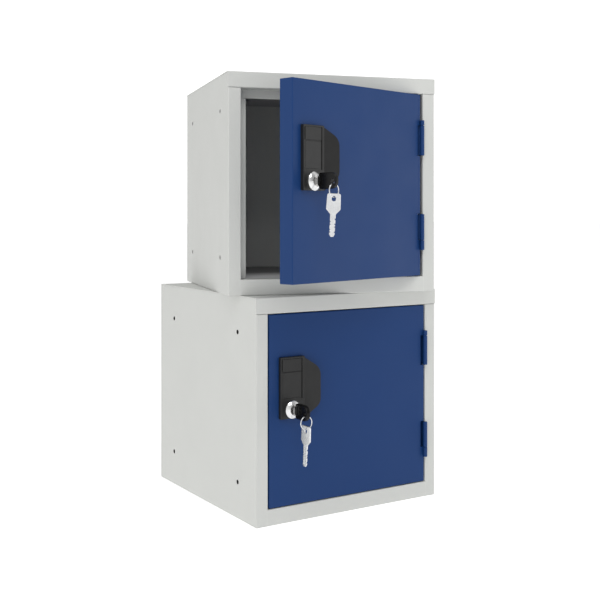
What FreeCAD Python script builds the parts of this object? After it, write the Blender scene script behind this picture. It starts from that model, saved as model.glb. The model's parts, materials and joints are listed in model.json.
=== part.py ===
"""A stack of two steel cube lockers for a school, each with a hinged door, a handle, a cam lock and keys.

Units are millimetres.  +X is to the right, +Y is to the back, +Z is up.  The origin is the centre of the
lower locker's base.  Every piece is modelled in its own locker's frame, with that locker's base centre at
the origin and its door closed.  put_together() then swings the door pieces about the hinges and places
the locker in the stack.
"""

import FreeCAD, Part
import math
import os

from FreeCAD import Placement, Rotation, Vector

# ---------------------------------------------------------------- driving dimensions

# Carcass: a cube of folded sheet steel.
CUBE = 305.0                # outside width, depth and height
SIDE_SPAN = 303.4           # between the outer faces of the two side panels
SHEET = 0.8                 # sheet thickness
BEND = 0.6                  # inner radius of every fold
STILE = 18.0                # width of the front frame's uprights
RAIL = 22.0                 # height of its top and bottom rails
STOP_SETBACK = 23.2         # front frame face to the door stop's face
STOP_WIDTH = 12.0           # how far the stop stands into the opening
SEAM = 0.35                 # gap between an upright's top end and the top rail
REAR_FLANGE = 15.0          # flange that carries the back panel
INNER_FLANGE = 14.0         # tray flanges welded inside the side panels
FLANGE_SETBACK = 30.0       # front face to the start of those flanges
FLANGE_STOP = 20.0          # and from their end to the back

BOLT_HOLE_RADIUS = 3.25     # for bolting lockers side by side
BOLT_HOLE_SPACING = 205.0   # square pattern
BOLT_HOLE_INSET = 52.0      # front face to the front pair
BOLT_HOLE_LOW = 50.0        # base to the lower pair

# Door: a folded pan that closes flush inside the front frame.
DOOR_GAP = 1.8              # beside the door
DOOR_GAP_ENDS = 1.1         # above and below it
DOOR_DEPTH = 22.0
DOOR_LIP = 13.0             # return lip round the back of the pan
DOOR_EDGE_RADIUS = 1.4
BUFFER_RADIUS = 3.6
BUFFER_THICKNESS = 0.9
BUFFER_INSET = (5.4, 30.0)  # from the free edge, and from the door's top and bottom
SCREW_HOLE_RADIUS = 1.8

# Hinges: two per door, with knuckles proud of the front and leaves in the gap beside the door.
KNUCKLE_RADIUS = 3.0
KNUCKLE_CLEARANCE = 0.4     # knuckle to the door's front face
KNUCKLE_GAP = 0.7
KNUCKLE_EDGE = 0.35         # rounding of a knuckle's rims
HINGE_INSET = 0.4           # door's right edge to the hinge axis
PIN_RADIUS = 1.6
PIN_CLEARANCE = 0.05
PIN_END = 0.3               # how far the pin stands out at each end
PIN_WALL = 0.3              # pin to the root of a leaf
LEAF = 1.0
LEAF_DEPTH = 17.0
HINGE_NOTCH = (6.5, 6.0)    # cut in the door's corner behind its own knuckle: width and depth
NOTCH_BEYOND = 0.8          # how far the cut runs past the door's knuckle
# name: (lowest z, highest z, z of the joint between the knuckles, is the frame's knuckle the lower one)
HINGES = {
    "top_hinge": (194.8, 244.8, 237.6, False),
    "bottom_hinge": (59.6, 110.6, 73.6, True),
}

# Handle: a moulded plate round the lock, with a raised wing on its right that the fingers pull.
HANDLE_LEFT = 34.5          # from the left upright's outer face
HANDLE_WIDTH = 38.5
HANDLE_LOW = 141.0
HANDLE_HEIGHT = 83.0
HANDLE_DEPTH = 5.5
HANDLE_WALL = 2.2
HANDLE_EDGE = 0.8
WING_WIDTH = 20.0
WING_RISE = 8.0
WING_THICKNESS = 2.4
WING_TOP_DROP = 2.5         # below the plate's top, where the wing's outline leaves the plate
WING_TOP_SLOPE = 35.0       # degrees below the horizontal
WING_TOP_RADIUS = 18.0
WING_BOTTOM_SLOPE = 42.0
WING_BOTTOM_RADIUS = 16.0
WING_ROOT = 3.0             # overlap with the plate
GROOVE = 1.6
GROOVE_DEPTH = 1.2
PANEL_MARGIN = 3.0          # plate edge to the grooved panels
PANEL_WIDTH = 29.6
INSERT_LOW = 168.6
INSERT_HIGH = 203.6
INSERT_THICKNESS = 1.0
INSERT_CLEARANCE = 0.25

# Lock: a cam lock through the handle and the door's front skin.
LOCK_OFFSET = 54.0          # from the left upright's outer face
LOCK_HEIGHT = 153.0
BEZEL_RADIUS = 12.25
BEZEL_HEIGHT = 5.0
BEZEL_RIM = 1.4             # height of the straight part of its side
BARREL_RADIUS = 9.0
BARREL_HOLE_RADIUS = 9.2    # in the door and the handle
BARREL_BACK = 24.3          # behind the door's front face
PLUG_RADIUS = 6.0
PLUG_FACE = 1.4             # plug face below the bezel's front
FUNNEL = (1.2, 0.4)         # how far the bezel's mouth is wider than the plug, in front and behind
KEYWAY = (2.3, 8.3)         # width and height
KEYWAY_DEPTH = 25.5
NUT_ACROSS_FLATS = 22.0
NUT_THICKNESS = 4.0
WASHER_RADIUS = 13.0
WASHER_THICKNESS = 1.0
CAM_FRONT = 24.8
CAM_THICKNESS = 2.0
CAM_WIDTH = 12.0
CAM_REACH = 34.0
CAM_SQUARE = 7.6
CAM_SCREW_RADIUS = 2.0
CAM_SCREW_HEAD = 4.4
CROSS_HALF_WIDTH = 0.35     # of a screw head's cross recess

# Keys: one in the lock with a plastic bow, and a spare that hangs from it on a wire ring.
BLADE_WIDTH = 7.7
BLADE_THICKNESS = 2.0
BLADE_INSERTED = 23.5
NOTCH_DEPTH = 1.5           # deepest cut of the bitting
BOW_START = 14.8            # in front of the door's face
BOW_LENGTH = 29.5
BOW_HEIGHT = 20.6
BOW_THICKNESS = 5.4
BOW_FRONT_RADIUS = 9.5      # corners of its free end
BOW_BACK_RADIUS = 3.5       # corners beside the lock
BOW_COLLAR = (2.4, 1.6, 5.6)    # stub round the blade: half width, length, half height
BOW_HOLE_RADIUS = 3.4
BOW_HOLE_INSET = 5.8        # from the free end
BOW_HOLE_DROP = 1.4         # below the key's middle
BOW_PLAY = 0.15             # slack under the ring in the bow's hole
RING_RADIUS = 8.6           # to the middle of the wire
RING_WIRE = 0.65            # wire radius
SPARE_HEAD_WIDTH = 18.0
SPARE_HEAD_HEIGHT = 26.0
SPARE_TAPER = 6.3           # of that height, the part that narrows to the blade
SPARE_BLADE_WIDTH = 6.9
SPARE_LENGTH = 54.0
SPARE_HOLE = (2.6, 1.4)     # radius, and the length of the straight part between the two ends
SPARE_ABOVE_HOLE = 3.3
SPARE_PLAY = 0.8            # slack over the ring in the spare key's hole, which it crosses at an angle
SPARE_LEAN = 3.3            # degrees out of plumb, in the key's own plane

# The stack.
STACK_GAP = 0.2             # paint film and rocking between the two lockers
LOCKERS = {
    # turn about the vertical, shift of the base centre, door opening, and how the spare key hangs
    "lower": {"turn": 0.0, "shift": (0.0, 0.0, 0.0), "door": 0.0, "spare_turn": -82.0},
    "upper": {"turn": -15.12, "shift": (16.7, 0.7, CUBE + STACK_GAP), "door": 29.5, "spare_turn": -47.0},
}

# ---------------------------------------------------------------- places that follow from them

FRONT = -CUBE / 2
BACK = CUBE / 2
LEFT = -SIDE_SPAN / 2
RIGHT = SIDE_SPAN / 2
STILE_TOP = CUBE - RAIL - SEAM
STILE_FOLD = STILE - SHEET - BEND    # width of an upright's flat face

DOOR_LEFT = LEFT + STILE + DOOR_GAP
DOOR_RIGHT = RIGHT - STILE - DOOR_GAP
DOOR_LOW = RAIL + DOOR_GAP_ENDS
DOOR_HIGH = CUBE - RAIL - DOOR_GAP_ENDS
DOOR_BACK = FRONT + DOOR_DEPTH

HINGE_X = DOOR_RIGHT - HINGE_INSET
HINGE_Y = FRONT - KNUCKLE_RADIUS - KNUCKLE_CLEARANCE

PLATE_LEFT = LEFT + HANDLE_LEFT
PLATE_RIGHT = PLATE_LEFT + HANDLE_WIDTH
PLATE_FACE = FRONT - HANDLE_DEPTH
PLATE_TOP = HANDLE_LOW + HANDLE_HEIGHT

LOCK_X = LEFT + LOCK_OFFSET
BEZEL_FACE = PLATE_FACE - BEZEL_HEIGHT
PLUG_FRONT = BEZEL_FACE + PLUG_FACE

BOW_BACK = FRONT - BOW_START
BOW_FRONT = BOW_BACK - BOW_LENGTH
RING_Y = BOW_FRONT + BOW_HOLE_INSET
RING_DIP = RING_RADIUS - math.sqrt(RING_RADIUS ** 2 - (BOW_THICKNESS / 2) ** 2)
BOW_HOLE_HEIGHT = LOCK_HEIGHT - BOW_HOLE_DROP
RING_TOP = BOW_HOLE_HEIGHT - BOW_HOLE_RADIUS + RING_WIRE + RING_DIP + BOW_PLAY
RING_LOW = RING_TOP - 2 * RING_RADIUS
SPARE_TOP = RING_LOW + RING_WIRE + SPARE_PLAY + SPARE_ABOVE_HOLE

# ---------------------------------------------------------------- shape helpers


def box(x0, x1, y0, y1, z0, z1):
    """A box between two limits on each axis."""
    return Part.makeBox(x1 - x0, y1 - y0, z1 - z0, Vector(x0, y0, z0))


def post(x, y, z0, z1, radius):
    """A cylinder along Z."""
    return Part.makeCylinder(radius, z1 - z0, Vector(x, y, z0), Vector(0, 0, 1))


def bar(x, z, y0, y1, radius):
    """A cylinder along Y."""
    return Part.makeCylinder(radius, y1 - y0, Vector(x, y0, z), Vector(0, 1, 0))


def peg(y, z, x0, x1, radius):
    """A cylinder along X."""
    return Part.makeCylinder(radius, x1 - x0, Vector(x0, y, z), Vector(1, 0, 0))


def fuse(*shapes):
    """One clean solid made of several."""
    return shapes[0].multiFuse(list(shapes[1:])).removeSplitter()


def edges_at(shape, axis, value):
    """The edges of a shape that lie wholly in one plane."""
    return [
        edge for edge in shape.Edges
        if all(abs(getattr(vertex, axis) - value) < 1e-4 for vertex in edge.Vertexes)
    ]


def edges_along(shape, direction):
    """The straight edges of a shape that run along one direction."""
    found = []
    for edge in shape.Edges:
        straight = isinstance(edge.Curve, Part.Line)
        if straight and abs(edge.tangentAt(edge.FirstParameter).dot(direction)) > 0.999:
            found.append(edge)
    return found


def wire_of(path, place):
    """A closed wire through a list of ("line", a, b) and ("arc", a, middle, b) pieces of a flat outline."""
    edges = []
    for kind, *points in path:
        ends = [place(*point) for point in points]
        if kind == "line":
            edges.append(Part.LineSegment(*ends).toShape())
        else:
            edges.append(Part.Arc(*ends).toShape())
    return Part.Wire(edges)


def rounded(points, radii):
    """The lines and arcs of an open path whose inner corners are rounded."""
    path = []
    start = points[0]
    for before, corner, after, radius in zip(points, points[1:], points[2:], radii):
        into = unit(before, corner)
        out = unit(corner, after)
        turn = math.atan2(into[0] * out[1] - into[1] * out[0], into[0] * out[0] + into[1] * out[1])
        reach = radius * math.tan(abs(turn) / 2)
        first = (corner[0] - into[0] * reach, corner[1] - into[1] * reach)
        last = (corner[0] + out[0] * reach, corner[1] + out[1] * reach)
        inward = unit(corner, ((first[0] + last[0]) / 2, (first[1] + last[1]) / 2))
        bulge = radius / math.cos(turn / 2) - radius
        middle = (corner[0] + inward[0] * bulge, corner[1] + inward[1] * bulge)
        path.append(("line", start, first))
        path.append(("arc", first, middle, last))
        start = last
    path.append(("line", start, points[-1]))
    return path


def unit(a, b):
    """The direction from one flat point to another."""
    length = math.hypot(b[0] - a[0], b[1] - a[1])
    return ((b[0] - a[0]) / length, (b[1] - a[1]) / length)


def moved_left(points, distance):
    """An open path moved sideways by a distance, with mitred corners."""
    result = []
    for index, point in enumerate(points):
        into = unit(points[index - 1], point) if index else unit(point, points[1])
        out = unit(point, points[index + 1]) if index < len(points) - 1 else into
        normal = (-(into[1] + out[1]) / 2, (into[0] + out[0]) / 2)
        scale = distance / (normal[0] ** 2 + normal[1] ** 2)
        result.append((point[0] + normal[0] * scale, point[1] + normal[1] * scale))
    return result


def folded_sheet(points, side, place, run):
    """Sheet metal folded along a flat path, which is its visible face, and extruded by the vector run.

    side is +1 where the metal lies to the left of the path and -1 where it lies to the right.
    """
    face_radii = []
    rear_radii = []
    for before, corner, after in zip(points, points[1:], points[2:]):
        into = unit(before, corner)
        out = unit(corner, after)
        towards_metal = (into[0] * out[1] - into[1] * out[0]) * side > 0
        face_radii.append(BEND + SHEET if towards_metal else BEND)
        rear_radii.append(BEND if towards_metal else BEND + SHEET)
    rear = moved_left(points, side * SHEET)
    outline = rounded(points, face_radii)
    outline.append(("line", points[-1], rear[-1]))
    outline += rounded(rear[::-1], rear_radii[::-1])
    outline.append(("line", rear[0], points[0]))
    return Part.Face(wire_of(outline, place)).extrude(run)


def mirrored(shape):
    """The same piece for the other side of the locker."""
    return shape.mirror(Vector(0, 0, 0), Vector(1, 0, 0))


# ---------------------------------------------------------------- carcass


def left_side():
    """Side panel in one sheet: rear flange, skin, front upright, return and door stop."""
    section = [
        (LEFT + REAR_FLANGE, BACK - SHEET),
        (LEFT, BACK - SHEET),
        (LEFT, FRONT),
        (LEFT + STILE, FRONT),
        (LEFT + STILE, FRONT + STOP_SETBACK),
        (LEFT + STILE + STOP_WIDTH, FRONT + STOP_SETBACK),
    ]
    panel = folded_sheet(section, +1, lambda x, y: Vector(x, y, SHEET), Vector(0, 0, CUBE - 2 * SHEET))
    inside = STOP_SETBACK + SHEET + BEND
    behind_rail = box(LEFT - 1, LEFT + STILE + STOP_WIDTH + 1, FRONT - 1, FRONT + SHEET, STILE_TOP, CUBE)
    over_stile = box(LEFT + SHEET, LEFT + STILE + STOP_WIDTH + 1, FRONT - 1, FRONT + inside, STILE_TOP, CUBE)
    under_fold = box(LEFT - 1, LEFT + SHEET + 1, FRONT - 1, FRONT + SHEET + BEND, CUBE - SHEET - BEND, CUBE)
    stop_edge = LEFT + STILE
    stop_top = box(stop_edge, stop_edge + STOP_WIDTH + 1, FRONT + 1, FRONT + inside,
                   CUBE - RAIL - STOP_WIDTH - SEAM, CUBE)
    stop_foot = box(stop_edge, stop_edge + STOP_WIDTH + 1, FRONT + 1, FRONT + inside, 0, RAIL + SEAM)
    rail_joint = box(LEFT + STILE_FOLD, LEFT + STILE + 1, FRONT - 1, FRONT + inside, 0, RAIL)
    for waste in (behind_rail, over_stile, under_fold, stop_top, stop_foot, rail_joint):
        panel = panel.cut(waste)
    for depth in (BOLT_HOLE_INSET, BOLT_HOLE_INSET + BOLT_HOLE_SPACING):
        for height in (BOLT_HOLE_LOW, BOLT_HOLE_LOW + BOLT_HOLE_SPACING):
            panel = panel.cut(peg(FRONT + depth, height, LEFT - 1, LEFT + 2, BOLT_HOLE_RADIUS))
    return panel


def top_tray():
    """Roof in one sheet with the top rail, its return and the stop; it laps over both side panels."""
    section = [
        (FRONT + STOP_SETBACK, CUBE - RAIL - STOP_WIDTH),
        (FRONT + STOP_SETBACK, CUBE - RAIL),
        (FRONT, CUBE - RAIL),
        (FRONT, CUBE),
        (BACK, CUBE),
    ]
    tray = folded_sheet(section, -1, lambda y, z: Vector(-CUBE / 2, y, z), Vector(CUBE, 0, 0))
    for edge, wall in ((-CUBE / 2 - 1, LEFT + SHEET), (RIGHT - SHEET, CUBE / 2 + 1)):
        tray = tray.cut(box(edge, wall, FRONT + SHEET, FRONT + FLANGE_SETBACK, 0, CUBE - SHEET))
    for edge, wall in ((-CUBE / 2 - 1, LEFT + STILE), (RIGHT - STILE, CUBE / 2 + 1)):
        tray = tray.cut(box(edge, wall, FRONT + SHEET + BEND + 1, FRONT + FLANGE_SETBACK,
                            0, CUBE - RAIL + SHEET + BEND))
        tray = tray.cut(box(edge, wall, FRONT + 3, FRONT + FLANGE_SETBACK, 0, CUBE - RAIL))
    flanges = [tray]
    for wall in (LEFT + SHEET, RIGHT - 2 * SHEET):
        flanges.append(box(wall, wall + SHEET, FRONT + FLANGE_SETBACK, BACK - FLANGE_STOP,
                           CUBE - INNER_FLANGE, CUBE - SHEET / 2))
    flanges.append(box(LEFT + REAR_FLANGE + 1, RIGHT - REAR_FLANGE - 1, BACK - 2 * SHEET, BACK - SHEET,
                       CUBE - INNER_FLANGE, CUBE - SHEET / 2))
    return fuse(*flanges)


def bottom_tray():
    """Base, bottom rail and raised floor in one folded sheet, inside the side panels."""
    floor_back = BACK - 2 * SHEET
    section = [
        (BACK, 0),
        (FRONT, 0),
        (FRONT, RAIL),
        (floor_back, RAIL),
    ]
    start = LEFT + STILE_FOLD
    tray = folded_sheet(section, -1, lambda y, z: Vector(start, y, z), Vector(-2 * start, 0, 0))
    for edge, wall in ((LEFT + STILE_FOLD - 1, LEFT + STILE + STOP_WIDTH + SEAM),
                       (RIGHT - STILE - STOP_WIDTH - SEAM, RIGHT - STILE_FOLD + 1)):
        tray = tray.cut(box(edge, wall, FRONT + STOP_SETBACK - SEAM, FRONT + FLANGE_SETBACK,
                            SHEET + 1, RAIL + STOP_WIDTH))
    pieces = [tray]
    for edge, inner in ((LEFT + SHEET, LEFT + STILE), (RIGHT - STILE, RIGHT - SHEET)):
        pieces.append(box(edge, inner, FRONT + SHEET, BACK, 0, SHEET))
        pieces.append(box(edge, inner, FRONT + FLANGE_SETBACK, floor_back - BEND, RAIL - SHEET, RAIL))
    for wall in (LEFT + SHEET, RIGHT - 2 * SHEET):
        pieces.append(box(wall, wall + SHEET, FRONT + FLANGE_SETBACK, BACK - FLANGE_STOP,
                          SHEET / 2, INNER_FLANGE))
    pieces.append(box(LEFT + REAR_FLANGE + 1, RIGHT - REAR_FLANGE - 1, BACK - 2 * SHEET, BACK - SHEET,
                      SHEET / 2, INNER_FLANGE))
    return fuse(*pieces)


def back_panel():
    """Flat sheet welded to the rear flanges, between the roof and the floor."""
    return box(LEFT, RIGHT, BACK - SHEET, BACK, SHEET, CUBE - SHEET)


# ---------------------------------------------------------------- door


def door_pan():
    """Door skin folded back on all four edges, with a return lip and a hole for the lock."""
    outer = box(DOOR_LEFT, DOOR_RIGHT, FRONT, DOOR_BACK, DOOR_LOW, DOOR_HIGH)
    outer = outer.makeFillet(DOOR_EDGE_RADIUS,
                             edges_at(outer, "Y", FRONT) + edges_along(outer, Vector(0, 1, 0)))
    hollow = box(DOOR_LEFT + SHEET, DOOR_RIGHT - SHEET, FRONT + SHEET, DOOR_BACK - SHEET,
                 DOOR_LOW + SHEET, DOOR_HIGH - SHEET)
    inner_radius = DOOR_EDGE_RADIUS - SHEET
    hollow = hollow.makeFillet(inner_radius,
                               edges_at(hollow, "Y", FRONT + SHEET) + edges_along(hollow, Vector(0, 1, 0)))
    mouth = box(DOOR_LEFT + DOOR_LIP, DOOR_RIGHT - DOOR_LIP, DOOR_BACK - SHEET - 1, DOOR_BACK + 1,
                DOOR_LOW + DOOR_LIP, DOOR_HIGH - DOOR_LIP)
    pan = outer.cut(hollow).cut(mouth)
    pan = pan.cut(bar(LOCK_X, LOCK_HEIGHT, FRONT - 1, FRONT + 2, BARREL_HOLE_RADIUS))
    for x, z in handle_screw_places():
        pan = pan.cut(bar(x, z, FRONT - 1, FRONT + 2, SCREW_HOLE_RADIUS))
    wide, deep = HINGE_NOTCH
    for low, high, split, frame_is_lower in HINGES.values():
        start, end = (split, high + NOTCH_BEYOND) if frame_is_lower else (low - NOTCH_BEYOND, split)
        pan = pan.cut(box(DOOR_RIGHT - wide, DOOR_RIGHT + 1, FRONT - 1, FRONT + deep, start, end))
    return pan


def door_buffers():
    """Two rubber discs behind the door's free edge that meet the door stop."""
    discs = []
    from_edge, from_end = BUFFER_INSET
    for z in (DOOR_LOW + from_end, DOOR_HIGH - from_end):
        disc = bar(DOOR_LEFT + from_edge, z, DOOR_BACK, DOOR_BACK + BUFFER_THICKNESS, BUFFER_RADIUS)
        discs.append(disc.makeFillet(0.4, edges_at(disc, "Y", DOOR_BACK + BUFFER_THICKNESS)))
    return Part.makeCompound(discs)


# ---------------------------------------------------------------- hinges


def knuckle(z0, z1, bore):
    """One tube of a hinge's barrel, its outer rims slightly rounded."""
    tube = post(HINGE_X, HINGE_Y, z0, z1, KNUCKLE_RADIUS)
    tube = tube.makeFillet(KNUCKLE_EDGE, edges_at(tube, "Z", z0) + edges_at(tube, "Z", z1))
    return tube.cut(post(HINGE_X, HINGE_Y, z0 - 1, z1 + 1, bore))


def hinge_pieces(name):
    """The frame leaf, the door leaf and the pin of one hinge."""
    low, high, split, frame_is_lower = HINGES[name]
    lower_span = (low, split - KNUCKLE_GAP / 2)
    upper_span = (split + KNUCKLE_GAP / 2, high)
    frame_span, door_span = (lower_span, upper_span) if frame_is_lower else (upper_span, lower_span)
    root = HINGE_Y + PIN_RADIUS + PIN_WALL
    frame_edge = RIGHT - STILE
    door_leaf = fuse(
        knuckle(*door_span, PIN_RADIUS + PIN_CLEARANCE),
        box(DOOR_RIGHT, DOOR_RIGHT + LEAF, root, FRONT + LEAF_DEPTH, *door_span),
    )
    frame_leaf = fuse(
        knuckle(*frame_span, PIN_RADIUS),
        box(frame_edge - LEAF, frame_edge, root, FRONT + LEAF_DEPTH, *frame_span),
    )
    foot = low - PIN_END
    head = high + PIN_END
    pin = post(HINGE_X, HINGE_Y, foot, head, PIN_RADIUS)
    pin = pin.makeFillet(PIN_RADIUS / 2, edges_at(pin, "Z", foot) + edges_at(pin, "Z", head))
    return {name + "_frame_leaf": frame_leaf, name + "_door_leaf": door_leaf, name + "_pin": pin}


# ---------------------------------------------------------------- handle


def handle_screw_places():
    """Where the two screws come through the door from behind."""
    middle = PLATE_LEFT + PANEL_MARGIN + PANEL_WIDTH / 2
    return [(middle - 9, PLATE_TOP - 11), (middle + 9, PLATE_TOP - 11)]


def handle():
    """Moulded plate with a hollow back, grooved panels, the lock's seat and the finger wing."""
    plate = box(PLATE_LEFT, PLATE_RIGHT, PLATE_FACE, FRONT, HANDLE_LOW, PLATE_TOP)
    plate = plate.makeFillet(1.6, edges_along(plate, Vector(0, 1, 0)))
    plate = plate.makeFillet(HANDLE_EDGE, edges_at(plate, "Y", PLATE_FACE))
    plate = fuse(plate, wing())
    hollow = box(PLATE_LEFT + HANDLE_WALL, PLATE_RIGHT - HANDLE_WALL, PLATE_FACE + HANDLE_WALL, FRONT + 1,
                 HANDLE_LOW + HANDLE_WALL, PLATE_TOP - HANDLE_WALL)
    seat = bar(LOCK_X, LOCK_HEIGHT, PLATE_FACE, FRONT, BARREL_RADIUS + 2.4)
    bosses = [bar(x, z, PLATE_FACE + 1, FRONT, 3.2) for x, z in handle_screw_places()]
    hollow = hollow.cut(Part.makeCompound([seat] + bosses))
    plate = plate.cut(hollow)
    plate = plate.cut(bar(LOCK_X, LOCK_HEIGHT, PLATE_FACE - 1, FRONT + 1, BARREL_HOLE_RADIUS))
    for x, z in handle_screw_places():
        plate = plate.cut(bar(x, z, PLATE_FACE + 1.6, FRONT + 1, 1.2))
    return plate.cut(Part.makeCompound(handle_grooves()))


def wing():
    """Flap that rises to the right of the plate, with a rounded free edge to pull on."""
    slope = WING_RISE / WING_WIDTH
    x0 = PLATE_RIGHT - WING_ROOT
    x1 = PLATE_RIGHT + WING_WIDTH
    root = PLATE_FACE + slope * WING_ROOT
    tip = PLATE_FACE - WING_RISE
    lean = WING_THICKNESS * math.hypot(1, slope)
    corners = [(x0, root), (x1, tip), (x1, tip + lean), (x0, root + lean)]
    sides = [("line", a, b) for a, b in zip(corners, corners[1:] + corners[:1])]
    section = Part.Face(wire_of(sides, lambda x, y: Vector(x, y, HANDLE_LOW)))
    flap = section.extrude(Vector(0, 0, HANDLE_HEIGHT))
    top = PLATE_TOP - WING_TOP_DROP
    points = [
        (x0, top),
        (PLATE_RIGHT, top),
        (x1, top - WING_WIDTH * math.tan(math.radians(WING_TOP_SLOPE))),
        (x1, HANDLE_LOW + WING_WIDTH * math.tan(math.radians(WING_BOTTOM_SLOPE))),
        (PLATE_RIGHT, HANDLE_LOW),
        (x0, HANDLE_LOW),
    ]
    outline = rounded(points, [WING_ROOT, WING_TOP_RADIUS, WING_BOTTOM_RADIUS, WING_ROOT])
    outline.append(("line", points[-1], points[0]))
    cutter = Part.Face(wire_of(outline, lambda x, z: Vector(x, PLATE_FACE - 2 * WING_RISE, z)))
    return flap.common(cutter.extrude(Vector(0, 3 * WING_RISE, 0)))


def handle_grooves():
    """Shallow grooves that outline the two panels and mark off the strip beside the wing."""
    left = PLATE_LEFT + PANEL_MARGIN
    right = left + PANEL_WIDTH
    top = PLATE_TOP - PANEL_MARGIN
    deep = PLATE_FACE + GROOVE_DEPTH
    cuts = [
        box(right, right + GROOVE, PLATE_FACE - 1, deep, INSERT_LOW - GROOVE, top),
        box(left, right, PLATE_FACE - 1, deep, INSERT_HIGH, INSERT_HIGH + GROOVE),
        box(left - GROOVE, left, PLATE_FACE - 1, deep, INSERT_HIGH, top),
        box(left - GROOVE, right + GROOVE, PLATE_FACE - 1, deep, top, top + GROOVE / 2),
        box(left, right, PLATE_FACE - 1, PLATE_FACE + INSERT_THICKNESS, INSERT_LOW, INSERT_HIGH),
    ]
    return cuts


def number_insert():
    """Blank plate that snaps into the handle's recess, for a door number."""
    gap = INSERT_CLEARANCE
    left = PLATE_LEFT + PANEL_MARGIN + gap
    right = PLATE_LEFT + PANEL_MARGIN + PANEL_WIDTH - gap
    plate = box(left, right, PLATE_FACE, PLATE_FACE + INSERT_THICKNESS, INSERT_LOW + gap, INSERT_HIGH - gap)
    return plate.makeFillet(0.3, edges_at(plate, "Y", PLATE_FACE))


def cross_head(x, z, y_seat, radius, height):
    """Domed screw head with a cross recess, its seat at y_seat and its top further back."""
    head = bar(x, z, y_seat, y_seat + height, radius)
    head = head.makeFillet(height * 0.6, edges_at(head, "Y", y_seat + height))
    recess_floor = y_seat + height * 0.45
    reach = radius * 0.55
    for wide, tall in ((reach, CROSS_HALF_WIDTH), (CROSS_HALF_WIDTH, reach)):
        head = head.cut(box(x - wide, x + wide, recess_floor, y_seat + height + 1, z - tall, z + tall))
    return head


def handle_screws():
    """Two screws from inside the door into the handle's bosses."""
    screws = []
    for x, z in handle_screw_places():
        head = cross_head(x, z, FRONT + SHEET, 3.2, 2.0)
        screws.append(fuse(head, bar(x, z, PLATE_FACE + 1.7, FRONT + SHEET + 0.5, 1.2)))
    return Part.makeCompound(screws)


# ---------------------------------------------------------------- lock


def lock_housing():
    """Chrome bezel and barrel in one piece, bored for the plug; the bezel's front is part of a ball."""
    mouth = PLUG_RADIUS + FUNNEL[0]
    rim = BEZEL_RIM
    centre = (BEZEL_HEIGHT ** 2 + mouth ** 2 - rim ** 2 - BEZEL_RADIUS ** 2) / (2 * (BEZEL_HEIGHT - rim))
    ball = math.hypot(mouth, BEZEL_HEIGHT - centre)
    bezel = bar(LOCK_X, LOCK_HEIGHT, BEZEL_FACE, PLATE_FACE, BEZEL_RADIUS)
    bezel = bezel.common(Part.makeSphere(ball, Vector(LOCK_X, PLATE_FACE - centre, LOCK_HEIGHT)))
    barrel = bar(LOCK_X, LOCK_HEIGHT, PLATE_FACE, FRONT + BARREL_BACK, BARREL_RADIUS)
    housing = fuse(bezel, barrel)
    bore = bar(LOCK_X, LOCK_HEIGHT, BEZEL_FACE - 1, FRONT + BARREL_BACK + 1, PLUG_RADIUS + PIN_CLEARANCE)
    funnel = Part.makeCone(PLUG_RADIUS + FUNNEL[0], PLUG_RADIUS + FUNNEL[1], PLUG_FACE,
                           Vector(LOCK_X, BEZEL_FACE, LOCK_HEIGHT), Vector(0, 1, 0))
    return housing.cut(bore).cut(funnel)


def hexagon(across_flats, y0, y1):
    """Hexagonal prism along the lock's axis."""
    radius = across_flats / math.sqrt(3)
    corners = []
    for index in range(7):
        angle = math.radians(60 * index)
        corners.append(Vector(LOCK_X + radius * math.cos(angle), y0, LOCK_HEIGHT + radius * math.sin(angle)))
    return Part.Face(Part.makePolygon(corners)).extrude(Vector(0, y1 - y0, 0))


def lock_washer():
    """Flat washer between the door skin and the nut."""
    start = FRONT + SHEET
    disc = bar(LOCK_X, LOCK_HEIGHT, start, start + WASHER_THICKNESS, WASHER_RADIUS)
    return disc.cut(bar(LOCK_X, LOCK_HEIGHT, start - 1, start + 3, BARREL_RADIUS + 0.1))


def lock_nut():
    """Hexagonal nut that clamps the housing to the door and the handle."""
    start = FRONT + SHEET + WASHER_THICKNESS
    nut = hexagon(NUT_ACROSS_FLATS, start, start + NUT_THICKNESS)
    chamfer = Part.makeCone(NUT_ACROSS_FLATS / 2 + NUT_THICKNESS * 1.4, NUT_ACROSS_FLATS / 2 - 0.2,
                            NUT_THICKNESS, Vector(LOCK_X, start, LOCK_HEIGHT), Vector(0, 1, 0))
    nut = nut.common(chamfer)
    return nut.cut(bar(LOCK_X, LOCK_HEIGHT, start - 1, start + NUT_THICKNESS + 1, BARREL_RADIUS + 0.1))


def lock_plug():
    """Turning core with the keyway, a square drive for the cam and a tapped hole for its screw."""
    plug = bar(LOCK_X, LOCK_HEIGHT, PLUG_FRONT, FRONT + CAM_FRONT, PLUG_RADIUS)
    plug = plug.makeFillet(0.4, edges_at(plug, "Y", PLUG_FRONT))
    half = CAM_SQUARE / 2
    cam_back = FRONT + CAM_FRONT + CAM_THICKNESS
    square = box(LOCK_X - half, LOCK_X + half, FRONT + CAM_FRONT - 0.5, cam_back,
                 LOCK_HEIGHT - half, LOCK_HEIGHT + half)
    plug = fuse(plug, square)
    wide, tall = KEYWAY
    keyway = box(LOCK_X - wide / 2, LOCK_X + wide / 2, PLUG_FRONT - 1, PLUG_FRONT + KEYWAY_DEPTH,
                 LOCK_HEIGHT - tall / 2, LOCK_HEIGHT + tall / 2)
    tapped = bar(LOCK_X, LOCK_HEIGHT, cam_back - 6, cam_back + 1, CAM_SCREW_RADIUS)
    return plug.cut(keyway).cut(tapped)


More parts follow.
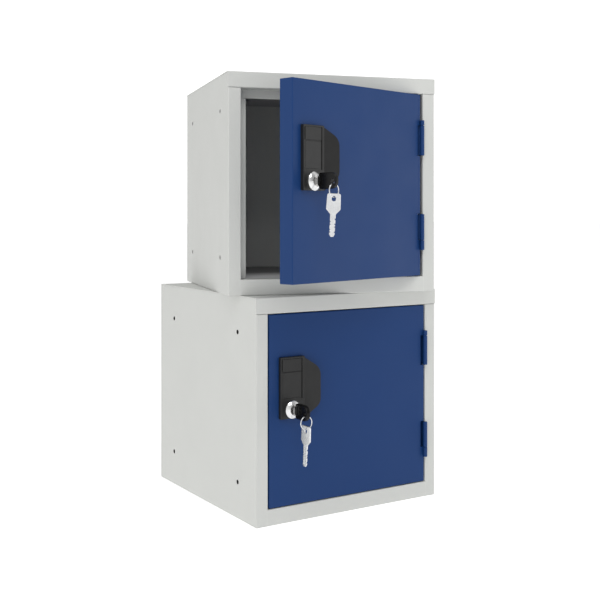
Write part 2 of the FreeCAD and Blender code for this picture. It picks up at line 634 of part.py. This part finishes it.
def lock_cam():
    """Flat cam that points down while unlocked and turns to the left behind the door stop."""
    y0 = FRONT + CAM_FRONT
    half = CAM_WIDTH / 2
    arm = box(LOCK_X - half, LOCK_X + half, y0, y0 + CAM_THICKNESS, LOCK_HEIGHT - CAM_REACH, LOCK_HEIGHT)
    tip_edges = [edge for edge in edges_along(arm, Vector(0, 1, 0))
                 if edge.CenterOfMass.z < LOCK_HEIGHT - CAM_REACH / 2]
    arm = arm.makeFillet(3.0, tip_edges)
    cam = fuse(arm, bar(LOCK_X, LOCK_HEIGHT, y0, y0 + CAM_THICKNESS, half + 1.5))
    hole = CAM_SQUARE / 2 + 0.1
    return cam.cut(box(LOCK_X - hole, LOCK_X + hole, y0 - 1, y0 + CAM_THICKNESS + 1,
                       LOCK_HEIGHT - hole, LOCK_HEIGHT + hole))


def cam_screw():
    """Screw with a wide head that holds the cam on the plug."""
    seat = FRONT + CAM_FRONT + CAM_THICKNESS
    head = cross_head(LOCK_X, LOCK_HEIGHT, seat, CAM_SCREW_HEAD + 0.8, 2.2)
    return fuse(head, bar(LOCK_X, LOCK_HEIGHT, seat - 5, seat + 0.8, CAM_SCREW_RADIUS))


# ---------------------------------------------------------------- keys


def notches(centre, along, across, count, pitch, width):
    """Wedges that cut the bitting of a key, on both edges of a blade of that width."""
    cutters = []
    for index in range(count):
        for edge in (-1, 1):
            cut = NOTCH_DEPTH * (0.55 + 0.45 * math.cos(2.1 * index + edge))
            tip = centre + along * (pitch * index) + across * (edge * (width / 2 - cut))
            outer = centre + along * (pitch * index) + across * (edge * (width / 2 + 0.6))
            spread = along * (pitch * 0.42)
            corners = [tip - spread * 0.3, tip + spread * 0.3, outer + spread, outer - spread]
            face = Part.Face(Part.makePolygon(corners + [corners[0]]))
            normal = along.cross(across).normalize() * (2 * BLADE_THICKNESS)
            face.translate(normal * -0.5)
            cutters.append(face.extrude(normal))
    return Part.makeCompound(cutters)


def key_blade():
    """Steel blade in the keyway; its other end is moulded into the bow."""
    half = BLADE_THICKNESS / 2
    back = PLUG_FRONT + BLADE_INSERTED
    low = LOCK_HEIGHT - BLADE_WIDTH / 2
    high = LOCK_HEIGHT + BLADE_WIDTH / 2
    blade = box(LOCK_X - half, LOCK_X + half, BOW_BACK, back, low, high)
    tip_edges = [edge for edge in edges_along(blade, Vector(1, 0, 0)) if edge.CenterOfMass.y > back - 1]
    blade = blade.makeChamfer(2.6, tip_edges)
    start = Vector(LOCK_X, back - 5.5, LOCK_HEIGHT)
    return blade.cut(notches(start, Vector(0, -1, 0), Vector(0, 0, 1), 5, 3.0, BLADE_WIDTH))


def key_bow():
    """Black plastic grip with rounded corners, sunk panels and the hole for the ring."""
    half = BOW_THICKNESS / 2
    low = LOCK_HEIGHT - BOW_HEIGHT / 2
    high = LOCK_HEIGHT + BOW_HEIGHT / 2
    bow = box(LOCK_X - half, LOCK_X + half, BOW_FRONT, BOW_BACK, low, high)
    outer = [edge for edge in edges_along(bow, Vector(1, 0, 0)) if edge.CenterOfMass.y < BOW_FRONT + 1]
    bow = bow.makeFillet(BOW_FRONT_RADIUS, outer)
    inner = [edge for edge in edges_along(bow, Vector(1, 0, 0)) if edge.CenterOfMass.y > BOW_BACK - 1]
    bow = bow.makeFillet(BOW_BACK_RADIUS, inner)
    bow = bow.makeFillet(1.1, edges_at(bow, "X", LOCK_X - half) + edges_at(bow, "X", LOCK_X + half))
    half_wide, length, half_tall = BOW_COLLAR
    collar = box(LOCK_X - half_wide, LOCK_X + half_wide, BOW_BACK - 1, BOW_BACK + length,
                 LOCK_HEIGHT - half_tall, LOCK_HEIGHT + half_tall)
    bow = fuse(bow, collar)
    for side in (-1, 1):
        x_face = LOCK_X + side * half
        panel = box(min(x_face, x_face - side * 0.6), max(x_face, x_face - side * 0.6),
                    BOW_BACK - 15.5, BOW_BACK - 4.0, low + 4, high - 4)
        bow = bow.cut(panel)
    bow = bow.cut(peg(RING_Y, BOW_HOLE_HEIGHT, LOCK_X - half - 1, LOCK_X + half + 1, BOW_HOLE_RADIUS))
    slot = box(LOCK_X - BLADE_THICKNESS / 2, LOCK_X + BLADE_THICKNESS / 2, BOW_BACK, BOW_BACK + 2,
               LOCK_HEIGHT - BLADE_WIDTH / 2, LOCK_HEIGHT + BLADE_WIDTH / 2)
    return bow.cut(slot)


def key_ring():
    """Wire ring through the bow's hole, hanging parallel to the door."""
    centre = Vector(LOCK_X, RING_Y, RING_TOP - RING_RADIUS)
    return Part.makeTorus(RING_RADIUS, RING_WIRE, centre, Vector(0, 1, 0))


def spare_key(turn):
    """Plain steel key that hangs on the ring by the hole in its head, turned about the vertical."""
    half_head = SPARE_HEAD_WIDTH / 2
    half_blade = SPARE_BLADE_WIDTH / 2
    shoulder = SPARE_TOP - SPARE_HEAD_HEIGHT
    tip = SPARE_TOP - SPARE_LENGTH
    corners = [
        (-half_head + 0.7, SPARE_TOP),
        (half_head - 0.7, SPARE_TOP),
        (half_head, shoulder + SPARE_TAPER),
        (half_blade, shoulder),
        (half_blade, tip + 3.2),
        (1.6, tip),
        (-1.6, tip),
        (-half_blade, tip + 3.2),
        (-half_blade, shoulder),
        (-half_head, shoulder + SPARE_TAPER),
    ]
    middle_top = (0, SPARE_TOP)
    path = rounded([middle_top] + corners[1:] + corners[:1] + [middle_top],
                   [2.2, 1.2, 0.8, 0.8, 0.8, 0.8, 0.8, 0.8, 1.2, 2.2])
    front = RING_Y - BLADE_THICKNESS / 2
    outline = wire_of(path, lambda x, z: Vector(LOCK_X + x, front, z))
    key = Part.Face(outline).extrude(Vector(0, BLADE_THICKNESS, 0))
    key = key.makeChamfer(0.25, edges_at(key, "Y", front) + edges_at(key, "Y", front + BLADE_THICKNESS))
    radius, straight = SPARE_HOLE
    hole_top = SPARE_TOP - SPARE_ABOVE_HOLE
    for z in (hole_top - radius, hole_top - radius - straight):
        key = key.cut(bar(LOCK_X, z, RING_Y - 2, RING_Y + 2, radius))
    key = key.cut(box(LOCK_X - radius, LOCK_X + radius, RING_Y - 2, RING_Y + 2,
                      hole_top - radius - straight, hole_top - radius))
    start = Vector(LOCK_X, RING_Y, tip + 6)
    key = key.cut(notches(start, Vector(0, 0, 1), Vector(1, 0, 0), 6, 3.2, SPARE_BLADE_WIDTH))
    for side in (-1, 1):
        face = RING_Y + side * BLADE_THICKNESS / 2
        groove = box(LOCK_X - 0.7 + side * 0.9, LOCK_X + 0.7 + side * 0.9, face - 0.5, face + 0.5,
                     tip + 2, shoulder + 1)
        key = key.cut(groove)
    key.rotate(Vector(LOCK_X, RING_Y, RING_LOW), Vector(0, 1, 0), SPARE_LEAN)
    key.rotate(Vector(LOCK_X, RING_Y, RING_LOW), Vector(0, 0, 1), turn)
    return key


# ---------------------------------------------------------------- assembly

CARCASS_PIECES = ("left_side", "right_side", "top_tray", "bottom_tray", "back_panel",
                  "top_hinge_frame_leaf", "top_hinge_pin", "bottom_hinge_frame_leaf", "bottom_hinge_pin")


def locker_pieces(spare_turn):
    """Every piece of one locker by name, in the locker's own frame with the door closed."""
    side = left_side()
    pieces = {
        "left_side": side,
        "right_side": mirrored(side),
        "top_tray": top_tray(),
        "bottom_tray": bottom_tray(),
        "back_panel": back_panel(),
        "door_pan": door_pan(),
        "door_buffers": door_buffers(),
        "handle": handle(),
        "number_insert": number_insert(),
        "handle_screws": handle_screws(),
        "lock_housing": lock_housing(),
        "lock_washer": lock_washer(),
        "lock_nut": lock_nut(),
        "lock_plug": lock_plug(),
        "lock_cam": lock_cam(),
        "cam_screw": cam_screw(),
        "key_blade": key_blade(),
        "key_bow": key_bow(),
        "key_ring": key_ring(),
        "spare_key": spare_key(spare_turn),
    }
    for name in HINGES:
        pieces.update(hinge_pieces(name))
    return pieces


def locker_placement(locker):
    """Where a locker stands in the stack."""
    return Placement(Vector(*locker["shift"]), Rotation(Vector(0, 0, 1), locker["turn"]))


def door_placement(locker):
    """The same, with the door swung open about its hinges."""
    turn = Rotation(Vector(0, 0, 1), locker["door"])
    swing = Placement(Vector(0, 0, 0), turn, Vector(HINGE_X, HINGE_Y, 0))
    return locker_placement(locker).multiply(swing)


def put_together():
    """Write every piece of both lockers at its place in the stack."""
    os.makedirs("parts", exist_ok=True)
    for prefix, locker in LOCKERS.items():
        for name, shape in locker_pieces(locker["spare_turn"]).items():
            on_carcass = name in CARCASS_PIECES
            placement = locker_placement(locker) if on_carcass else door_placement(locker)
            placed = shape.transformed(placement.toMatrix(), True)
            placed.exportStep("parts/" + prefix + "_" + name + ".step")


put_together()
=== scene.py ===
"""The look of a stack of two steel cube lockers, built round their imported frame.

Lengths are metres.  Each locker has its own frame, with its base centre at the origin and its door closed,
and the materials are laid out in that frame.
"""

import json
import math

import bpy
from mathutils import Matrix, Vector


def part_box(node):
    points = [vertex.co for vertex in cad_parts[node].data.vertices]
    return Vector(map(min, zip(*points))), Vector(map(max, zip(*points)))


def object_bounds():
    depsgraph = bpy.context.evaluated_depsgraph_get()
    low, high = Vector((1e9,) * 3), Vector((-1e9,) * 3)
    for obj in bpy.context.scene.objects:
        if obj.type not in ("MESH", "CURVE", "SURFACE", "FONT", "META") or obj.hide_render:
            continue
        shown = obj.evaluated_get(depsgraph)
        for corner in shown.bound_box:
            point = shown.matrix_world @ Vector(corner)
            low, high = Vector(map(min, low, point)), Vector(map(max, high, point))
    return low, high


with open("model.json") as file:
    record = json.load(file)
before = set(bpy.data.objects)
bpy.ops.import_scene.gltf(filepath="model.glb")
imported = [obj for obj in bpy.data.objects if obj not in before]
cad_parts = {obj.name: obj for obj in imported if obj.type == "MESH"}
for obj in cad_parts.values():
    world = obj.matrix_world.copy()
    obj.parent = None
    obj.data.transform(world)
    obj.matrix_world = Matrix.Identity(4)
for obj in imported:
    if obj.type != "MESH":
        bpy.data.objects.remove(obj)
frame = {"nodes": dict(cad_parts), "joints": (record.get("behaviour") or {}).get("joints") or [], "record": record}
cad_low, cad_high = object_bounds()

# ---------------------------------------------------------------- driving values

LOCKERS = ("lower", "upper")

# The camera stands level with its horizon above the middle of the picture.
CAMERA_PLACE = Vector((-0.7991, -1.2990, 0.4198))
CAMERA_LOOK = Vector((0.5295, 0.8483, 0.0))
CAMERA_LENS = 59.68
CAMERA_SENSOR = 36.0
CAMERA_SHIFT_Y = -0.1476
CAMERA_REACH = (0.05, 50.0)

# Places inside a locker where its painted shade and light change.
STOP_DEPTH = 0.0232         # front frame to the door stop's face
SHEET = 0.0008
ROOF_FADE = (0.030, 0.002)  # below the top, where the lighter painted shade under the roof begins and is complete
FLOOR_FADE = (0.07, 0.15)   # behind the front frame, where the painted light on the floor's front starts and stops fading

# Colours are linear.  The inside greys are painted shade on the walls behind the door stop, lighter under the
# roof, and painted light on the front of the floor.
BODY_GREY = (0.592, 0.600, 0.578)
INSIDE_SHADE_GREY = (0.20, 0.20, 0.20)
ROOF_SHADE_GREY = (0.55, 0.55, 0.55)
FLOOR_LIT_GREY = (0.88, 0.88, 0.87)
DOOR_BLUE = (0.0085, 0.040, 0.148)
HANDLE_BLACK = (0.012, 0.012, 0.012)
BOW_BLACK = (0.004, 0.004, 0.004)
RUBBER_BLACK = (0.022, 0.022, 0.022)
CHROME = (0.80, 0.80, 0.80)
NICKEL = (0.42, 0.41, 0.40)
KEY_STEEL = (0.80, 0.81, 0.82)
ZINC = (0.60, 0.61, 0.62)
FLOOR_WHITE = ((0.90, 0.90, 0.90), (0.93, 0.93, 0.93))

# Powder coat: how large its features are, and for the bumps how high.
MOTTLE_SIZE = 0.12
SPECK_SIZE = 0.0011
SMUDGE_SIZE = 0.05
ORANGE_PEEL = (0.0030, 0.00006)
POWDER_GRAIN = (0.0009, 0.000012)
FOLD_RADIUS = 0.0007
POWDER_SHEEN = 0.2          # specular level

# Moulded plastic, in the same way.
CLOUD_SIZE = 0.012
RUBBED_SIZE = 0.006
SPARK_GRAIN = (0.0006, 0.00003)
MOULD_EDGE_RADIUS = 0.0005

# Plated metal and rubber, in the same way.
DULL_SIZE = 0.008
SCRATCH = (0.0005, 0.000004)
RUBBER_CLOUD_SIZE = 0.003
RUBBER_GRAIN = (0.0004, 0.00002)

# How bright the studio's walls are for the object, by azimuth from the front towards the right, in degrees.
STUDIO_WALLS = (
    (-180, 0.65), (-148, 0.74), (-110, 1.08), (-60, 1.06), (-30, 0.86), (-12, 0.60),
    (10, 0.34), (25, 0.30), (45, 0.50), (62, 1.05), (90, 0.55), (120, 0.50), (180, 0.65),
)
STUDIO_CEILING = 0.60
BACKDROP = 1.3              # what the camera sees behind the object

# Soft boxes: name, place from the middle of the object, width and power.
SOFT_BOXES = (
    ("right_box", (0.82, -0.45, 0.05), 0.8, 1.1),
    ("top_box", (-0.5, -1.0, 1.3), 0.9, 8.0),
)
FLOOR_HALF_WIDTH = 30.0
FLOOR_GLOW = 0.42
FLOOR_GRAIN_SIZE = 0.4

# ---------------------------------------------------------------- where the lockers stand


def joint(name):
    """One joint of the frame, by name."""
    return next(entry for entry in frame["joints"] if entry["name"] == name)


def locker_frames(prefix):
    """The matrices that carry a locker's own frame, and its door's, to their places in the stack.

    The lock's axis shows how far the door is turned, and the hinge's lower limit how far it is open.
    """
    lock_axis = joint(prefix + "_lock_turn")["axis"]
    door_turn = math.atan2(-lock_axis[0], lock_axis[1])
    hinge = joint(prefix + "_door_hinge")
    opened = math.radians(-hinge["range_deg"][0])
    shift = Vector(joint("upper_turn")["pos_m"]) if prefix == "upper" else Vector((0, 0, 0))
    carcass = Matrix.Translation(shift) @ Matrix.Rotation(door_turn - opened, 4, "Z")
    pivot = Vector(hinge["pos_m"])
    swing = Matrix.Translation(pivot) @ Matrix.Rotation(opened, 4, "Z") @ Matrix.Translation(-pivot)
    return carcass, swing @ carcass


PLACES = {prefix: locker_frames(prefix) for prefix in LOCKERS}

# ---------------------------------------------------------------- materials


class Finish:
    """A material under construction: one Principled shader and the nodes that feed it."""

    def __init__(self, name, place=Matrix.Identity(4)):
        self.material = bpy.data.materials.new(name)
        self.material.use_nodes = True
        self.tree = self.material.node_tree
        self.shader = self.tree.nodes["Principled BSDF"]
        coordinates = self.tree.nodes.new("ShaderNodeTexCoord").outputs["Object"]
        inverse = place.inverted()
        self.where = self.add("ShaderNodeMapping", {
            "Vector": coordinates,
            "Location": inverse.to_translation(),
            "Rotation": inverse.to_euler(),
        }).outputs[0]

    def add(self, kind, inputs, **settings):
        """A node with its settings made and its inputs linked or set."""
        node = self.tree.nodes.new(kind)
        for key, value in settings.items():
            setattr(node, key, value)
        for key, value in inputs.items():
            if isinstance(value, bpy.types.NodeSocket):
                self.tree.links.new(value, node.inputs[key])
            else:
                node.inputs[key].default_value = value
        return node

    def set(self, **inputs):
        """Uniform values, or links, on the shader's own sockets; underscores stand for spaces."""
        for key, value in inputs.items():
            socket = self.shader.inputs[key.replace("_", " ")]
            if isinstance(value, bpy.types.NodeSocket):
                self.tree.links.new(value, socket)
            elif isinstance(value, tuple):
                socket.default_value = (*value, 1.0)
            else:
                socket.default_value = value

    def noise(self, size, detail=3.0, stretch=(1, 1, 1)):
        """Noise from 0 to 1 whose features are about one size across, in metres."""
        where = self.where
        if stretch != (1, 1, 1):
            where = self.add("ShaderNodeMapping", {"Vector": where, "Scale": stretch}).outputs[0]
        settings = {"Vector": where, "Scale": 1 / size, "Detail": detail}
        return self.add("ShaderNodeTexNoise", settings).outputs[0]

    def math(self, operation, *values):
        """One arithmetic step."""
        return self.add("ShaderNodeMath", dict(enumerate(values)), operation=operation).outputs[0]

    def spread(self, value, low, high, start=0.0, end=1.0):
        """A value carried from one range to another, and held inside it."""
        return self.add("ShaderNodeMapRange", {
            "Value": value, "From Min": start, "From Max": end, "To Min": low, "To Max": high,
        }).outputs[0]

    def blend(self, factor, first, second):
        """A colour between two colours."""
        node = self.add("ShaderNodeMix", {"Factor": factor}, data_type="RGBA")
        for key, value in (("A", first), ("B", second)):
            socket = next(entry for entry in node.inputs if entry.name == key and entry.type == "RGBA")
            if isinstance(value, bpy.types.NodeSocket):
                self.tree.links.new(value, socket)
            else:
                socket.default_value = (*value, 1.0)
        return next(entry for entry in node.outputs if entry.type == "RGBA")

    def edges(self, radius):
        """Nearly 1 along the outer and inner edges of the piece and 0 on its open faces."""
        rounded = self.add("ShaderNodeBevel", {"Radius": radius}, samples=4).outputs[0]
        flat = self.tree.nodes.new("ShaderNodeNewGeometry").outputs["Normal"]
        agreement = self.add("ShaderNodeVectorMath", {0: rounded, 1: flat}, operation="DOT_PRODUCT")
        return self.spread(agreement.outputs["Value"], 1.0, 0.0, 0.75, 0.99)

    def relief(self, *layers):
        """Bumps from (height, distance in metres) pairs, one on the other, on the shader's normal."""
        normal = None
        for height, distance in layers:
            inputs = {"Height": height, "Distance": distance, "Strength": 1.0}
            if normal is not None:
                inputs["Normal"] = normal
            normal = self.add("ShaderNodeBump", inputs).outputs[0]
        self.set(Normal=normal)


def shade(colour, factor):
    """A colour made lighter or darker."""
    return tuple(min(1.0, channel * factor) for channel in colour)


def powder_coat(name, place, colour, gloss, inside=None):
    """Baked powder paint: faint mottling, orange peel, thinner along the folds and lighter there as a painted
    highlight; inside, painted shade and light.
    """
    finish = Finish(name, place)
    mottle = finish.spread(finish.noise(MOTTLE_SIZE), 0.0, 1.0, 0.35, 0.65)
    base = finish.blend(mottle, shade(colour, 0.988), shade(colour, 1.012))
    speck = finish.spread(finish.noise(SPECK_SIZE, 1.0), 0.0, 0.35, 0.60, 0.80)
    base = finish.blend(speck, base, shade(colour, 0.90))
    # Lighter along the folds: a painted highlight, and a thinner coat.
    thin_coat_and_highlight = finish.math("MULTIPLY", finish.edges(FOLD_RADIUS), 0.45)
    base = finish.blend(thin_coat_and_highlight, base, shade(colour, 1.35))
    if inside is not None:
        # Painted shade on the inside walls behind the door stop, and painted light on the floor's front.
        base = finish.blend(inside_mask(finish), base, inside_light_and_shade(finish, *inside))
    smudge = finish.spread(finish.noise(SMUDGE_SIZE, 4.0), gloss - 0.05, gloss + 0.07, 0.3, 0.7)
    finish.set(Base_Color=base, Roughness=smudge, IOR=1.48, Specular_IOR_Level=POWDER_SHEEN)
    peel_size, peel_height = ORANGE_PEEL
    grain_size, grain_height = POWDER_GRAIN
    finish.relief((finish.noise(peel_size, 2.0), peel_height), (finish.noise(grain_size, 1.0), grain_height))
    return finish.material


def inside_light_and_shade(finish, walls, roof, floor):
    """Painted shade on the inside walls, lighter under the roof, and painted light on the front of the floor."""
    parts = finish.add("ShaderNodeSeparateXYZ", {0: finish.where})
    height, depth = parts.outputs["Z"], parts.outputs["Y"]
    top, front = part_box("lower_top_tray")[1].z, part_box("lower_bottom_tray")[0].y
    at_roof = finish.spread(height, 0.0, 1.0, top - ROOF_FADE[0], top - ROOF_FADE[1])
    wall_shade = finish.blend(at_roof, walls, roof)
    # Painted light on the front of the floor, fading towards the back.
    near = finish.spread(depth, 1.0, 0.0, front + FLOOR_FADE[0], front + FLOOR_FADE[1])
    on_floor = finish.math("LESS_THAN", height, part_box("lower_bottom_tray")[1].z + SHEET / 2)
    return finish.blend(finish.math("MULTIPLY", near, on_floor), wall_shade, floor)


def inside_mask(finish):
    """1 on the walls of the locker's inside, behind the door stop, and 0 elsewhere."""
    left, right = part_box("lower_left_side"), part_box("lower_right_side")
    low = Vector((left[0].x + SHEET / 2, left[0].y + STOP_DEPTH + SHEET / 2, SHEET / 2))
    high = Vector((right[1].x - SHEET / 2, left[1].y - SHEET / 2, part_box("lower_top_tray")[1].z - SHEET / 2))
    parts = finish.add("ShaderNodeSeparateXYZ", {0: finish.where})
    mask = None
    for axis in range(3):
        within = finish.math("COMPARE", parts.outputs[axis], (low[axis] + high[axis]) / 2,
                             (high[axis] - low[axis]) / 2)
        mask = within if mask is None else finish.math("MULTIPLY", mask, within)
    return mask


def moulded(name, place, colour, gloss, shine=0.4):
    """Moulded plastic with a spark-eroded grain, a little polished along its edges, which are also painted lighter
    as a highlight.
    """
    finish = Finish(name, place)
    cloud = finish.spread(finish.noise(CLOUD_SIZE), 0.0, 1.0, 0.3, 0.7)
    base = finish.blend(cloud, shade(colour, 0.85), shade(colour, 1.15))
    edge = finish.edges(MOULD_EDGE_RADIUS)
    # Painted highlight: the edges are lighter in colour.
    base = finish.blend(finish.math("MULTIPLY", edge, 0.5), base, shade(colour, 2.2))
    rubbed = finish.spread(finish.noise(RUBBED_SIZE), gloss - 0.04, gloss + 0.06)
    rough = finish.math("SUBTRACT", rubbed, finish.math("MULTIPLY", edge, 0.08))
    finish.set(Base_Color=base, Roughness=rough, IOR=1.5, Specular_IOR_Level=shine)
    grain_size, grain_height = SPARK_GRAIN
    finish.relief((finish.noise(grain_size, 2.0), grain_height))
    return finish.material


def plated(name, place, colour, gloss, stretch=(1, 1, 1)):
    """Plated metal with fine scratches along one direction and duller patches."""
    finish = Finish(name, place)
    dull = finish.spread(finish.noise(DULL_SIZE, 4.0), 0.0, 1.0, 0.35, 0.7)
    base = finish.blend(dull, colour, shade(colour, 0.86))
    scratch_size, scratch_depth = SCRATCH
    lines = finish.noise(scratch_size, 3.0, stretch)
    rough = finish.math("ADD", finish.spread(dull, gloss, gloss + 0.10), finish.spread(lines, -0.02, 0.04))
    finish.set(Base_Color=base, Roughness=rough, Metallic=1.0)
    finish.relief((lines, scratch_depth))
    return finish.material


def soft_rubber(name, place):
    """Dull black rubber."""
    finish = Finish(name, place)
    cloud = finish.spread(finish.noise(RUBBER_CLOUD_SIZE), 0.0, 1.0, 0.3, 0.7)
    finish.set(Base_Color=finish.blend(cloud, shade(RUBBER_BLACK, 0.8), shade(RUBBER_BLACK, 1.3)),
               Roughness=finish.spread(cloud, 0.75, 0.9))
    grain_size, grain_height = RUBBER_GRAIN
    finish.relief((finish.noise(grain_size, 2.0), grain_height))
    return finish.material


def finishes(prefix):
    """Every material of one locker, by the record's slot name."""
    carcass, door = PLACES[prefix]
    return {
        # The body's inside carries painted shade, and its floor's front painted light.
        "body_grey": powder_coat(prefix + "_body_grey", carcass, BODY_GREY, 0.48,
                                  (INSIDE_SHADE_GREY, ROOF_SHADE_GREY, FLOOR_LIT_GREY)),
        "door_blue": powder_coat(prefix + "_door_blue", door, DOOR_BLUE, 0.42),
        "pin_blue": powder_coat(prefix + "_pin_blue", carcass, DOOR_BLUE, 0.42),
        "handle_black": moulded(prefix + "_handle_black", door, HANDLE_BLACK, 0.42),
        "insert_black": moulded(prefix + "_insert_black", door, HANDLE_BLACK, 0.38),
        "bow_black": moulded(prefix + "_bow_black", door, BOW_BLACK, 0.20, shine=0.2),
        "rubber_black": soft_rubber(prefix + "_rubber_black", door),
        "zinc_plate": plated(prefix + "_zinc_plate", door, ZINC, 0.32),
        "lock_chrome": plated(prefix + "_lock_chrome", door, CHROME, 0.10),
        "plug_nickel": plated(prefix + "_plug_nickel", door, NICKEL, 0.22),
        "key_nickel": plated(prefix + "_key_nickel", door, KEY_STEEL, 0.20, stretch=(1, 1, 0.08)),
        "ring_nickel": plated(prefix + "_ring_nickel", door, KEY_STEEL, 0.16),
    }


def dress_frame():
    """Give every CAD node the finish that the record names for it."""
    sets = {prefix: finishes(prefix) for prefix in LOCKERS}
    for entry in frame["record"]["subparts"]:
        node = frame["nodes"][entry["node"]]
        finish = sets[entry["node"].split("_")[0]][entry["material_slot"]]
        if not node.material_slots:
            node.data.materials.append(None)
        node.material_slots[0].material = finish


# ---------------------------------------------------------------- stage


def make_camera():
    """A level camera at the viewing point."""
    data = bpy.data.cameras.new("camera")
    data.lens = CAMERA_LENS
    data.sensor_width = CAMERA_SENSOR
    data.shift_y = CAMERA_SHIFT_Y
    data.clip_start, data.clip_end = CAMERA_REACH
    camera = bpy.data.objects.new("camera", data)
    camera.location = CAMERA_PLACE
    camera.rotation_euler = CAMERA_LOOK.to_track_quat("-Z", "Y").to_euler()
    bpy.context.scene.collection.objects.link(camera)
    bpy.context.scene.camera = camera


def make_floor():
    """A wide pale floor that runs out of sight."""
    size = FLOOR_HALF_WIDTH
    mesh = bpy.data.meshes.new("floor")
    corners = [(-size, -size, 0), (size, -size, 0), (size, size, 0), (-size, size, 0)]
    mesh.from_pydata(corners, [], [(0, 1, 2, 3)])
    floor = bpy.data.objects.new("floor", mesh)
    bpy.context.scene.collection.objects.link(floor)
    finish = Finish("pale_floor")
    grain = finish.spread(finish.noise(FLOOR_GRAIN_SIZE, 4.0), 0.0, 1.0, 0.3, 0.7)
    finish.set(Base_Color=finish.blend(grain, *FLOOR_WHITE), Roughness=0.9)
    finish.set(Emission_Color=(1.0, 1.0, 1.0), Emission_Strength=FLOOR_GLOW)
    floor.data.materials.append(finish.material)


def make_world():
    """A white studio whose walls differ in brightness all round, as its lamps and dark gaps would."""
    world = bpy.data.worlds.new("studio")
    world.use_nodes = True
    bpy.context.scene.world = world
    tree = world.node_tree

    def add(kind, operation, *values):
        node = tree.nodes.new(kind)
        if operation:
            node.operation = operation
        for socket, value in zip(node.inputs, values):
            if isinstance(value, bpy.types.NodeSocket):
                tree.links.new(value, socket)
            else:
                socket.default_value = value
        return node.outputs[0]

    direction = tree.nodes.new("ShaderNodeTexCoord").outputs["Generated"]
    parts = tree.nodes.new("ShaderNodeSeparateXYZ")
    tree.links.new(direction, parts.inputs[0])
    to_front = add("ShaderNodeMath", "MULTIPLY", parts.outputs["Y"], -1.0)
    azimuth = add("ShaderNodeMath", "ARCTAN2", parts.outputs["X"], to_front)
    turn = add("ShaderNodeMath", "MULTIPLY_ADD", azimuth, 1 / (2 * math.pi), 0.5)
    ramp = tree.nodes.new("ShaderNodeValToRGB")
    tree.links.new(turn, ramp.inputs[0])
    # The ramp starts with a stop at each end. The first is used, and each new stop is made short of the
    # last one, which goes.
    stops = ramp.color_ramp.elements
    for index, (degrees, bright) in enumerate(STUDIO_WALLS):
        place = (degrees + 180) / 360
        stop = stops[0] if index == 0 else stops.new(min(place, 0.9999))
        stop.position = place
        stop.color = (bright, bright, bright, 1.0)
    stops.remove(stops[-1])
    height = add("ShaderNodeMath", "MULTIPLY", parts.outputs["Z"], parts.outputs["Z"])
    walls = tree.nodes.new("ShaderNodeMix")
    walls.data_type = "FLOAT"
    tree.links.new(height, walls.inputs[0])
    tree.links.new(ramp.outputs[0], walls.inputs[2])
    walls.inputs[3].default_value = STUDIO_CEILING
    path = tree.nodes.new("ShaderNodeLightPath")
    seen = tree.nodes.new("ShaderNodeMix")
    seen.data_type = "FLOAT"
    tree.links.new(path.outputs["Is Camera Ray"], seen.inputs[0])
    tree.links.new(walls.outputs[0], seen.inputs[2])
    seen.inputs[3].default_value = BACKDROP
    background = tree.nodes["Background"]
    background.inputs["Color"].default_value = (1.0, 1.0, 1.0, 1.0)
    tree.links.new(seen.outputs[0], background.inputs["Strength"])


def make_light(name, place, target, size, power):
    """A square soft box that faces a point."""
    data = bpy.data.lights.new(name, "AREA")
    data.shape = "SQUARE"
    data.size = size
    data.energy = power
    light = bpy.data.objects.new(name, data)
    light.location = place
    light.rotation_euler = (Vector(target) - Vector(place)).to_track_quat("-Z", "Y").to_euler()
    bpy.context.scene.collection.objects.link(light)


def make_stage():
    """Camera, floor and light."""
    make_camera()
    make_floor()
    make_world()
    middle = (cad_low + cad_high) / 2
    for name, offset, size, power in SOFT_BOXES:
        make_light(name, middle + Vector(offset), middle, size, power)
    bpy.context.scene.view_settings.view_transform = "Standard"


# ---------------------------------------------------------------- build

dress_frame()
make_stage()
